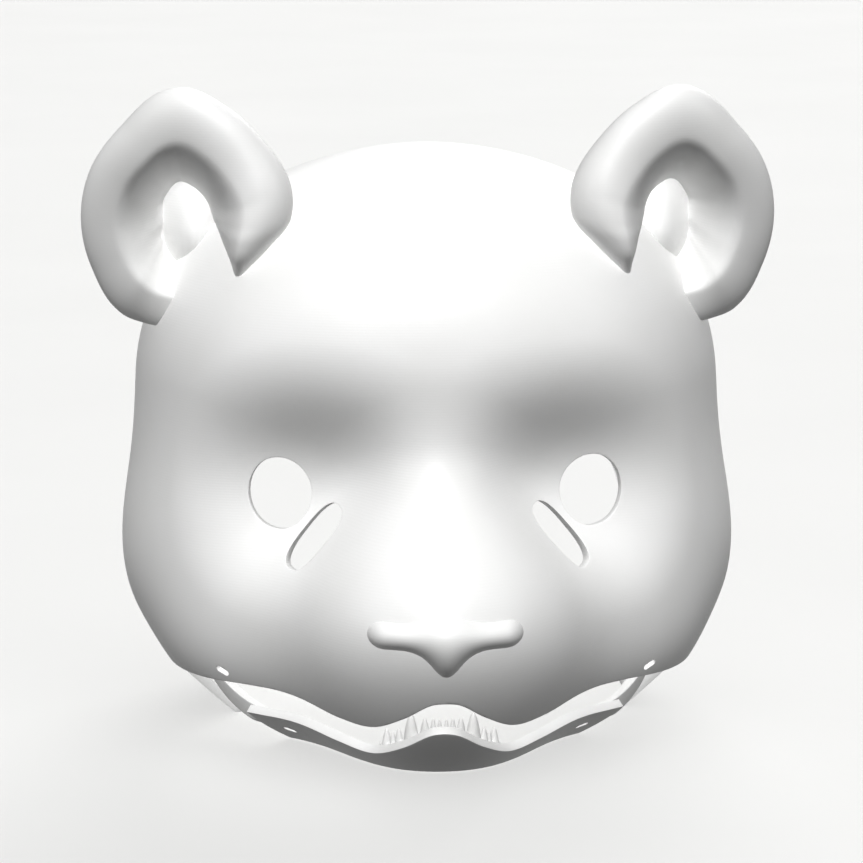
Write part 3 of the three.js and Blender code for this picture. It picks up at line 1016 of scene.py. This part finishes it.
@dataclass(frozen=True)
class Hinge:
    """Hinge line of the jaw, with the sizes that the arms and the pins share."""

    pivot: Place = (110.0, 12.0, 48.0)
    pin_radius: float = 3.5
    pin_head: float = 6.5
    pin_head_length: float = 3.0
    boss: float = 8.0
    play: float = 0.4
    arm_thickness: float = 5.0
    arm_height: float = 8.5
    arm_eye: float = 8.0
    chamfer: float = 0.6
    sides: int = 48

    def lathe(self, bm: bmesh.types.BMesh, side: Side, profile: Profile, closed: bool) -> None:
        """Spins a profile about the hinge line.

        Args:
            bm: Mesh that the turned shape is added to.
            side: Side of the head.
            profile: Points as place along X and radius.
            closed: Whether the profile is a loop, for a ring.
        """
        x, y, z = self.pivot
        verts = [bm.verts.new((side.value * (x + along), y, z + radius)) for along, radius in profile]
        pairs = list(zip(verts, verts[1:]))
        if closed:
            pairs.append((verts[-1], verts[0]))
        edges = [bm.edges.new(pair) for pair in pairs]
        bmesh.ops.spin(bm, geom=verts + edges, cent=(0, y, z), axis=(1, 0, 0), angle=math.tau,
                       steps=self.sides, use_merge=True, use_duplicate=False)
        bmesh.ops.remove_doubles(bm, verts=list(bm.verts), dist=MERGE_DISTANCE)
        bmesh.ops.recalc_face_normals(bm, faces=list(bm.faces))


@dataclass(frozen=True)
class JawPin:
    """Stepped pivot pin: a head, a shaft through the arm's eye and a boss on the shell's inner wall."""

    head: HeadForm
    hinge: Hinge
    side: Side
    seat_depth: float = 1.0
    boss_length: float = 40.0

    def build(self, material: bpy.types.Material, shift: float) -> None:
        """Models and dresses the pin.

        Args:
            material: Finish of the pin.
            shift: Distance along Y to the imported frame, in metres.
        """
        hinge = self.hinge
        half = hinge.arm_thickness / 2 + hinge.play
        tip = -half - hinge.pin_head_length
        end = self.boss_length
        c = hinge.chamfer
        profile = [
            (tip, 0), (tip, hinge.pin_head - c), (tip + c, hinge.pin_head), (-half - c, hinge.pin_head),
            (-half, hinge.pin_head - c), (-half, hinge.pin_radius), (half, hinge.pin_radius),
            (half, hinge.boss - c), (half + c, hinge.boss), (end, hinge.boss), (end, 0),
        ]
        bm = bmesh.new()
        hinge.lathe(bm, self.side, profile, closed=False)
        points = coordinates(bm)
        middle = points * np.array([0.0, 1.0, 1.0])
        ways = np.tile((1.0, 0.0, 0.0), (len(points), 1))
        wall = self.head.reach(middle, ways, self.seat_depth - self.head.wall)
        points[:, 0] = self.side.value * np.minimum(np.abs(points[:, 0]), wall)
        place_vertices(bm, points)
        node = f"jaw_pin_{self.side.name.lower()}"
        finish_piece(bm, f"printed_{node}", material, Body.HEAD, shift, node)


@dataclass(frozen=True)
class Jaw:
    """Lower jaw: the chin's wall under the rim, a partial chin plate and two bowed arms with eyes."""

    head: HeadForm
    mouth: MouthLine
    hinge: Hinge
    slot: Drill = JAW_BAND_SLOT
    floor_gap: float = 0.4
    back: tuple[tuple[float, float], ...] = ((0.0, -56.0), (16.0, -64.0), (60.0, -72.0))
    plate_back: float = -94.0
    plate_cells: int = 110
    plate_width: float = 200.0
    arm_root: tuple[float, float] = (-70.0, 10.0)
    arm_bow: Place = (92.0, -50.0, 10.0)
    arm_run: float = 24.0
    arm_steps: int = 40
    arm_end: float = 0.9
    arm_inset: float = 1.0
    arm_edge_steps: int = 3
    subdivisions: int = 7
    line_reach: float = 4.0
    edge_radius: float = 0.4
    arm_edge: float = 0.8

    def rim_rule(self, points: Points) -> Values:
        """Positive under the rim."""
        return self.mouth.rim(points[:, 0]) - points[:, 2]

    def back_rule(self, points: Points) -> Values:
        """Positive in front of the jaw's slanting rear edge."""
        heights, places = zip(*self.back)
        return np.interp(points[:, 2], heights, places) - points[:, 1]

    def floor_rule(self, points: Points) -> Values:
        """Positive above the floor's gap."""
        return points[:, 2] - self.floor_gap

    def inner(self, points: Points) -> Points:
        """Inner wall's places, square to the form but no lower than the floor's gap.

        Args:
            points: Places on the outer form.

        Returns:
            One place for each of them.
        """
        places = self.head.inward(points, -self.head.normals(points), self.head.wall)
        places[:, 2] = np.maximum(places[:, 2], self.floor_gap)
        return places

    def add_chin(self, bm: bmesh.types.BMesh) -> None:
        """Cuts the chin's curved wall out of a sheet and thickens it.

        Args:
            bm: Sheet on the head's form, which becomes the wall.
        """
        rules = (self.rim_rule, self.back_rule, self.floor_rule)
        for rule in rules:
            carve(bm, rule)
        for rule in rules + (self.slot.rule,):
            refine(bm, self.head, rule, self.line_reach)
        refine(bm, self.head, self.slot.rule, self.line_reach / 2)
        for rule in rules:
            carve(bm, rule)
        carve(bm, self.slot.rule)
        thicken(bm, self.inner)
        soften_edges(bm, self.edge_radius)

    def add_plate(self, bm: bmesh.types.BMesh) -> None:
        """Adds the flat plate under the chin.

        Args:
            bm: The jaw's mesh.
        """
        plate = bmesh.new()
        place = Matrix.Translation((0, self.plate_back, self.floor_gap))
        bmesh.ops.create_grid(plate, x_segments=self.plate_cells, y_segments=self.plate_cells,
                              size=self.plate_width / 2, matrix=place)
        inset = self.head.wall / 4
        carve(plate, lambda points: -self.head.field(points) - inset)
        carve(plate, lambda points: self.plate_back - points[:, 1])
        thicken(plate, lambda points: points + np.array([0.0, 0.0, self.head.wall]))
        join_part(bm, plate)

    def arm_path(self, share: Values) -> tuple[Points, Points]:
        """Path of the right arm, bowed from the jaw's rear corner to the pivot.

        Args:
            share: Shares of the way along the arm.

        Returns:
            Centres, and unit ways along the arm.
        """
        root_y, root_z = self.arm_root
        base = np.array([[0.0, root_y, root_z]])
        root_x = self.head.reach(base, np.array([[1.0, 0.0, 0.0]]), -self.head.wall / 2)[0]
        pivot = np.array(self.hinge.pivot)
        last_bow = pivot - np.array([0, self.arm_run, self.arm_run])
        knots = np.array([(root_x, root_y, root_z), self.arm_bow, last_bow, pivot])
        t = share[:, None]
        centres = (knots[0] * (1 - t) ** 3 + knots[1] * 3 * t * (1 - t) ** 2
                   + knots[2] * 3 * t * t * (1 - t) + knots[3] * t ** 3)
        ways = ((knots[1] - knots[0]) * (1 - t) ** 2 + (knots[2] - knots[1]) * 2 * t * (1 - t)
                + (knots[3] - knots[2]) * t * t)
        return centres, ways / np.linalg.norm(ways, axis=-1, keepdims=True)

    def add_arm(self, bm: bmesh.types.BMesh, side: Side) -> None:
        """Adds a bowed flat bar from the jaw's rear corner to the pivot, and its eye.

        Args:
            bm: The jaw's mesh.
            side: Side of the head.
        """
        hinge = self.hinge
        bar = bmesh.new()
        rounding = self.arm_edge / hinge.arm_thickness / 2
        add_block(bar, 1, rounding, self.arm_edge_steps, self.arm_steps)
        block = coordinates(bar)
        centres, ways = self.arm_path(np.clip(block[:, 1] + 0.5, 0, 1) * self.arm_end)
        flat = np.hypot(ways[:, 1], ways[:, 2])
        lift = block[:, 2] * hinge.arm_height
        centres[:, 0] += block[:, 0] * hinge.arm_thickness
        centres[:, 1] -= lift * ways[:, 2] / flat
        centres[:, 2] += lift * ways[:, 1] / flat
        centres[:, 2] = np.maximum(centres[:, 2], self.floor_gap)
        inside = self.head.from_core(centres, -self.arm_inset)
        proud = self.head.field(centres) > -self.arm_inset
        centres = np.where(proud[:, None], inside, centres)
        centres[:, 0] *= side.value
        place_vertices(bar, centres)
        bmesh.ops.recalc_face_normals(bar, faces=list(bar.faces))
        half = hinge.arm_thickness / 2
        c = hinge.chamfer
        bore = hinge.pin_radius + hinge.play
        hinge.lathe(bar, side, [
            (-half, bore + c), (-half + c, bore), (half - c, bore), (half, bore + c),
            (half, hinge.arm_eye - c), (half - c, hinge.arm_eye), (-half + c, hinge.arm_eye),
            (-half, hinge.arm_eye - c)], closed=True)
        join_part(bm, bar)

    def build(self, material: bpy.types.Material, shift: float) -> None:
        """Models and dresses the jaw.

        Args:
            material: Finish of the jaw.
            shift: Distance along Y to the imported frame, in metres.
        """
        bm = head_sheet(self.head, self.subdivisions)
        self.add_chin(bm)
        self.add_plate(bm)
        for side in Side:
            self.add_arm(bm, side)
        finish_piece(bm, "printed_lower_jaw", material, Body.JAW, shift, "jaw")


@dataclass(frozen=True)
class Tooth:
    """One tooth, mirrored to the other side: its place, its height over the rim and its width."""

    x: float
    height: float
    width: float


@dataclass(frozen=True)
class LowerTeeth:
    """Arch of lower teeth on a gum strip behind the jaw's rim."""

    head: HeadForm
    mouth: MouthLine
    gum_half_length: float = 27.5
    gum_depth: float = 4.4
    gum_height: float = 5.0
    gum_below: float = 3.2
    gum_steps: int = 64
    gum_edge: float = 0.2
    gum_edge_steps: int = 4
    search_from: float = -60.0
    seat_gap: float = 0.3
    taper: float = 0.28
    fullness: float = 1.15
    root_parts: float = 3.0
    segments: int = 20
    rings: int = 16
    teeth: tuple[Tooth, ...] = (
        Tooth(1.5, 3.6, 2.4),
        Tooth(4.4, 4.4, 2.8),
        Tooth(8.1, 5.7, 4.0),
        Tooth(14.0, 10.5, 6.2),
        Tooth(19.2, 5.3, 3.8),
        Tooth(21.8, 4.2, 2.8),
        Tooth(24.4, 6.2, 4.0),
    )

    def places(self, x: Values) -> Points:
        """Middle of the gum strip.

        Args:
            x: Distances from the centre plane.

        Returns:
            One place for each distance.
        """
        z = self.mouth.rim(x) - self.gum_below
        start = np.stack([x, np.full(len(x), self.search_from), z], axis=-1)
        depth = self.head.wall + self.seat_gap + self.gum_depth / 2
        return self.head.forward(start, -depth)

    def add_gum(self, bm: bmesh.types.BMesh) -> None:
        """Adds the strip that the teeth stand on.

        Args:
            bm: The teeth's mesh, still empty.
        """
        add_block(bm, 0, self.gum_edge, self.gum_edge_steps, self.gum_steps)
        block = coordinates(bm)
        middle = self.places(block[:, 0] * 2 * self.gum_half_length)
        middle[:, 1] += block[:, 1] * self.gum_depth
        middle[:, 2] += block[:, 2] * self.gum_height
        place_vertices(bm, middle)

    def add_tooth(self, bm: bmesh.types.BMesh, tooth: Tooth, side: Side) -> None:
        """Adds one full, pointed tooth.

        Args:
            bm: The teeth's mesh.
            tooth: The tooth.
            side: Side of the head.
        """
        root = self.places(np.array([side.value * tooth.x]))[0]
        crown = bmesh.ops.create_uvsphere(bm, u_segments=self.segments, v_segments=self.rings,
                                          radius=1.0)
        length = tooth.height + self.gum_below
        for vert in crown["verts"]:
            up = max(vert.co.z, 0.0)
            out = (1 - self.taper * up) * self.fullness * tooth.width / 2
            rise = up * length if vert.co.z > 0 else vert.co.z * self.gum_height / self.root_parts
            vert.co = Vector((vert.co.x * out, vert.co.y * out, rise)) + Vector(root)

    def build(self, material: bpy.types.Material, shift: float) -> None:
        """Models and dresses the teeth.

        Args:
            material: Finish of the teeth.
            shift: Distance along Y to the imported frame, in metres.
        """
        bm = bmesh.new()
        self.add_gum(bm)
        for tooth in self.teeth:
            for side in Side:
                self.add_tooth(bm, tooth, side)
        finish_piece(bm, "printed_lower_teeth", material, Body.JAW, shift, "lower_teeth")


@dataclass(frozen=True)
class StudioLamp:
    """A broad lamp so far off that it lights head and floor evenly; spread is its width in degrees."""

    name: str
    towards: Place
    strength: float
    spread: float
    shadows: bool = True


@dataclass(frozen=True)
class Studio:
    """Pale floor, soft lamps and the camera."""

    target: Place = (0.0, 0.0108, 0.1265)
    azimuth: float = -3.0
    elevation: float = 12.0
    distance: float = 1.6
    lens: float = 139.9
    target_pixel: tuple[float, float] = (428.5, 447.0)
    floor_size: float = 60.0
    floor_cells: int = 4
    world_light: float = 0.25
    contrast: float = 0.68
    world_tint: str = "#F4F4F4"
    lamps: tuple[StudioLamp, ...] = (
        StudioLamp("key_lamp", (-0.07, -0.6, 0.78), 2.75, 14.0, shadows=False),
        StudioLamp("left_lamp", (-0.8, -0.38, 0.45), 0.55, 14.0, shadows=False),
        StudioLamp("right_lamp", (0.8, -0.38, 0.45), 0.5, 14.0, shadows=False),
        StudioLamp("top_lamp", (0.1, -0.2, 0.97), 0.35, 60.0),
        StudioLamp("back_lamp", (0.25, 0.83, 0.5), 1.2, 40.0),
    )

    def add_floor(self) -> None:
        """Adds the floor that the head stands on."""
        bm = bmesh.new()
        bmesh.ops.create_grid(bm, x_segments=self.floor_cells, y_segments=self.floor_cells,
                              size=self.floor_size / 2)
        mesh = bpy.data.meshes.new("studio_floor")
        bm.to_mesh(mesh)
        bm.free()
        mesh.materials.append(StudioBoard().make())
        floor = bpy.data.objects.new("studio_floor", mesh)
        bpy.context.scene.collection.objects.link(floor)
        floor.visible_diffuse = False

    def add_lamps(self) -> None:
        """Adds the lamps and the even light around them."""
        for lamp in self.lamps:
            light = bpy.data.lights.new(lamp.name, "SUN")
            light.energy = lamp.strength
            light.angle = math.radians(lamp.spread)
            light.use_shadow = lamp.shadows
            holder = bpy.data.objects.new(lamp.name, light)
            holder.rotation_euler = Vector(lamp.towards).to_track_quat("Z", "Y").to_euler()
            bpy.context.scene.collection.objects.link(holder)
        world = bpy.data.worlds.new("studio_light")
        world.use_nodes = True
        sky = world.node_tree.nodes["Background"]
        sky.inputs["Color"].default_value = linear_colour(self.world_tint)
        sky.inputs["Strength"].default_value = self.world_light
        bpy.context.scene.world = world

    def add_camera(self) -> None:
        """Adds the camera at the photograph's viewing angle."""
        a = math.radians(self.azimuth)
        e = math.radians(self.elevation)
        back = Vector((math.sin(a) * math.cos(e), -math.cos(a) * math.cos(e), math.sin(e)))
        lens = bpy.data.cameras.new("photo_camera")
        lens.sensor_width = SENSOR
        lens.lens = self.lens
        lens.shift_x = (IMAGE_WIDTH / 2 - self.target_pixel[0]) / IMAGE_WIDTH
        lens.shift_y = (self.target_pixel[1] - IMAGE_WIDTH / 2) / IMAGE_WIDTH
        camera = bpy.data.objects.new("photo_camera", lens)
        camera.location = Vector(self.target) + back * self.distance
        camera.rotation_euler = (-back).to_track_quat("-Z", "Y").to_euler()
        bpy.context.scene.collection.objects.link(camera)
        bpy.context.scene.camera = camera

    def build(self) -> None:
        """Sets up the whole studio."""
        self.add_floor()
        self.add_lamps()
        self.add_camera()
        bpy.context.scene.view_settings.view_transform = "Standard"
        bpy.context.scene.view_settings.gamma = self.contrast


def main() -> None:
    """Builds the studio and every piece in order."""
    logging.basicConfig(level=logging.INFO, format="%(name)s %(message)s")
    head = HeadForm()
    mouth = MouthLine()
    hinge = Hinge()
    shift = frame["joints"][0]["pos_m"][1] - hinge.pivot[1] * METRE
    plastic = PrintedPlastic().make()
    Studio().build()
    HeadShell(head, mouth).build(plastic, shift)
    for side in Side:
        Ear(head, side).build(plastic, shift)
    NosePad(head).build(plastic, shift)
    Jaw(head, mouth, hinge).build(plastic, shift)
    LowerTeeth(head, mouth).build(plastic, shift)
    for side in Side:
        JawPin(head, hinge, side).build(plastic, shift)


if __name__ == "__main__":
    main()
